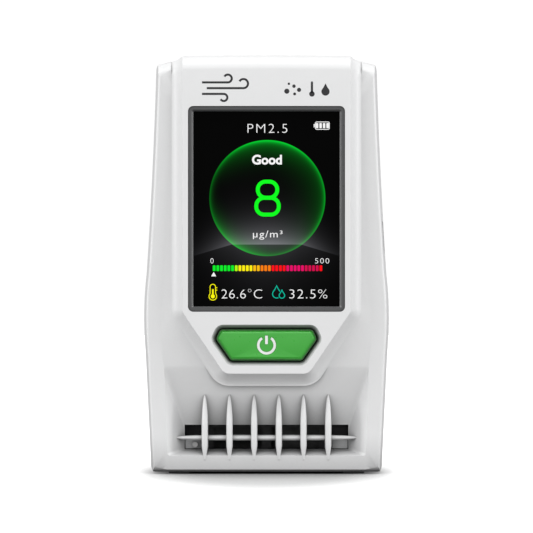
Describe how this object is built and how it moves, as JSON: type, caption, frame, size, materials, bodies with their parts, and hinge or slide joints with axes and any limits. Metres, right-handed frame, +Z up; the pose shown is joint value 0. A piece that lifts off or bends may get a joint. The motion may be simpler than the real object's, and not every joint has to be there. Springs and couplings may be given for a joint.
{
  "type": "air quality monitor",
  "caption": "Upright handheld air quality monitor with a colour screen, a power button and a finned scoop intake over a fan-fed particle sensor.",
  "frame": {"origin": "middle of the base, on the surface that the rubber feet stand on", "axes": "+X to the right of someone looking at the screen, -Y the way the screen faces, +Z up"},
  "size_m": [0.073, 0.034, 0.1237],
  "materials": {
    "case": "satin moulded white",
    "bezel": "satin dark grey",
    "screen": "gloss black, lit from behind",
    "button": "satin green",
    "mark": "white inlay",
    "inner_grey": "moulded light grey",
    "black_plastic": "matte black",
    "white_plastic": "matte white",
    "rubber": "matte",
    "foam": "open-cell foam",
    "board": "green solder mask",
    "steel": "plated",
    "ribbon": "amber film",
    "cell": "foil pouch",
    "brass": "turned"
  },
  "bodies": {
    "case": {"front_cover": "case", "rear_cover": "case", "case_screw_1": "steel", "case_screw_2": "steel", "case_screw_3": "steel", "case_screw_4": "steel", "foot_1": "rubber", "foot_2": "rubber", "foot_3": "rubber", "foot_4": "rubber", "display_bezel": "bezel", "display_window": "screen", "display_gasket": "foam", "lcd_panel": "screen", "lcd_backlight": "white_plastic", "lcd_ribbon": "ribbon", "ribbon_socket": "black_plastic", "switch_body": "black_plastic", "intake_frame": "inner_grey", "intake_screw": "inner_grey", "intake_gasket": "foam", "sensor_case": "black_plastic", "sensor_lid": "black_plastic", "fan_frame": "black_plastic", "sensor_board": "board", "laser_module": "brass", "light_detector": "black_plastic", "main_board": "board", "board_screw_1": "steel", "board_screw_2": "steel", "board_screw_3": "steel", "board_screw_4": "steel", "processor": "black_plastic", "memory_chip": "black_plastic", "power_chip": "black_plastic", "charger_chip": "black_plastic", "buzzer": "black_plastic", "charging_port": "steel", "sensor_socket": "black_plastic", "battery_socket": "white_plastic", "battery": "cell", "battery_pad": "foam", "climate_board": "board", "climate_sensor": "white_plastic", "sensor_harness": "black_plastic", "battery_lead": "black_plastic"},
    "button": {"power_button": "button", "mark_ring": "mark", "mark_bar": "mark"},
    "plunger": {"switch_plunger": "black_plastic"},
    "fan": {"fan_rotor": "black_plastic"}
  },
  "joints": [
    {"name": "button_press", "type": "slide", "parent": "case", "child": "button", "axis": [0, 1, 0], "range_m": [0, 0.0005], "stiffness_N_per_m": 1500},
    {"name": "plunger_press", "type": "slide", "parent": "case", "child": "plunger", "axis": [0, 1, 0], "range_m": [0, 0.0008]},
    {"name": "fan_spin", "type": "hinge", "parent": "case", "child": "fan", "pos_m": [-0.0085, 0.007, 0.02], "axis": [0, 1, 0], "continuous": true}
  ],
  "couplings": [
    {"joint": "plunger_press", "follows": "button_press", "ratio": 1}
  ]
}
